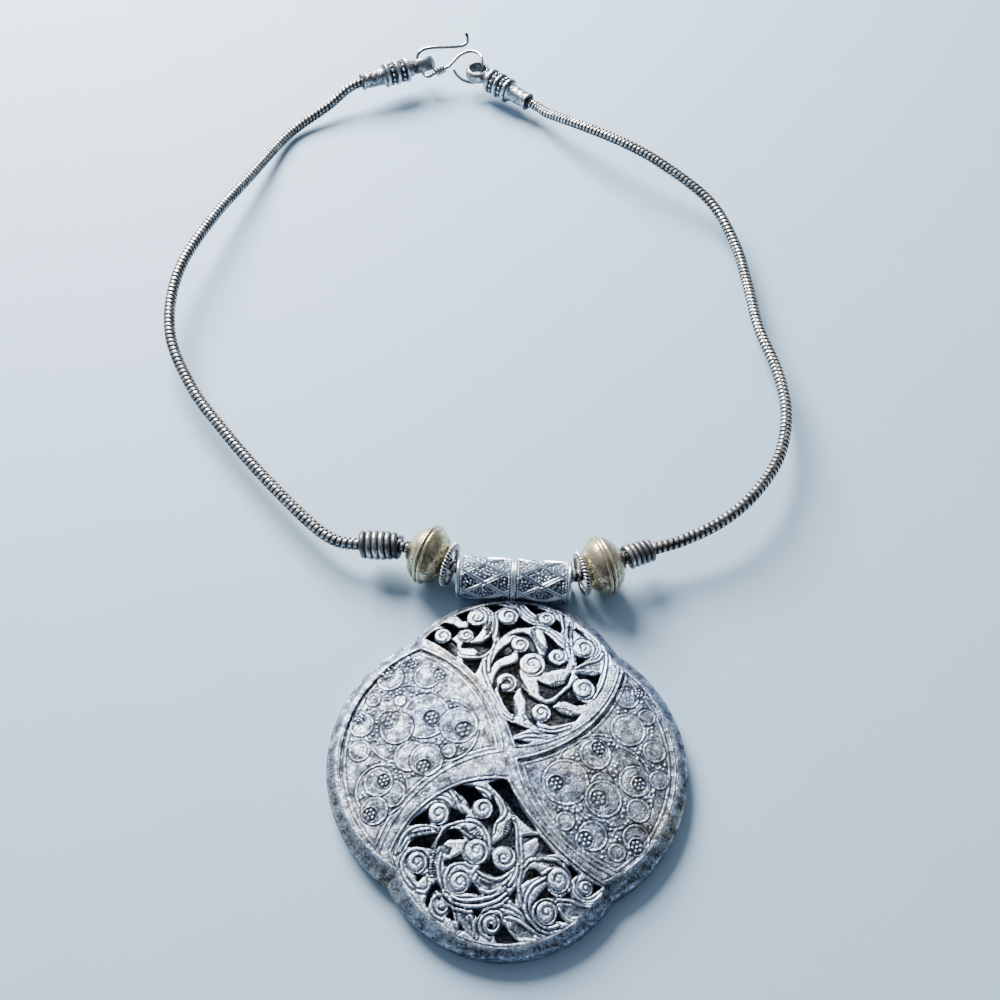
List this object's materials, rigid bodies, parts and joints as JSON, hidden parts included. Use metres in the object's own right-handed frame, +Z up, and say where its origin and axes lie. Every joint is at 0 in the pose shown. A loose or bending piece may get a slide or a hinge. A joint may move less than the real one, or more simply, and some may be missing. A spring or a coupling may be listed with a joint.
{
  "type": "medallion necklace",
  "caption": "Antique-silver necklace: a large pierced four-lobed medallion under a tube bail, on a round snake chain with beads, end caps and a wire hook clasp.",
  "frame": {"origin": "on the surface that the necklace lies on, under the middle of its outline", "axes": "+Z up from the surface, +Y from the medallion towards the clasp, +X to the right seen from the medallion's side"},
  "size_m": [0.156, 0.2684, 0.0153],
  "materials": {
    "antique_silver": "worn antique silver, dark in the recesses and bright on the ridges",
    "snake_chain": "ribbed round snake chain, darkened between its ribs",
    "bead_metal": "dull khaki-grey metal, speckled with tarnish",
    "coil_wire": "round wire, bright on its turns and black between them",
    "cap_silver": "antique silver with blackened bands behind bright grains",
    "hook_wire": "polished drawn wire"
  },
  "bodies": {
    "root": {"medallion": "antique_silver", "chain_left": "snake_chain", "chain_right": "snake_chain", "bead_left": "bead_metal", "bead_right": "bead_metal", "spacer_left": "coil_wire", "spacer_right": "coil_wire", "wrap_left": "coil_wire", "wrap_right": "coil_wire", "cap_left": "cap_silver", "cap_right": "cap_silver", "hook": "hook_wire", "hook_coil": "coil_wire"}
  },
  "joints": []
}
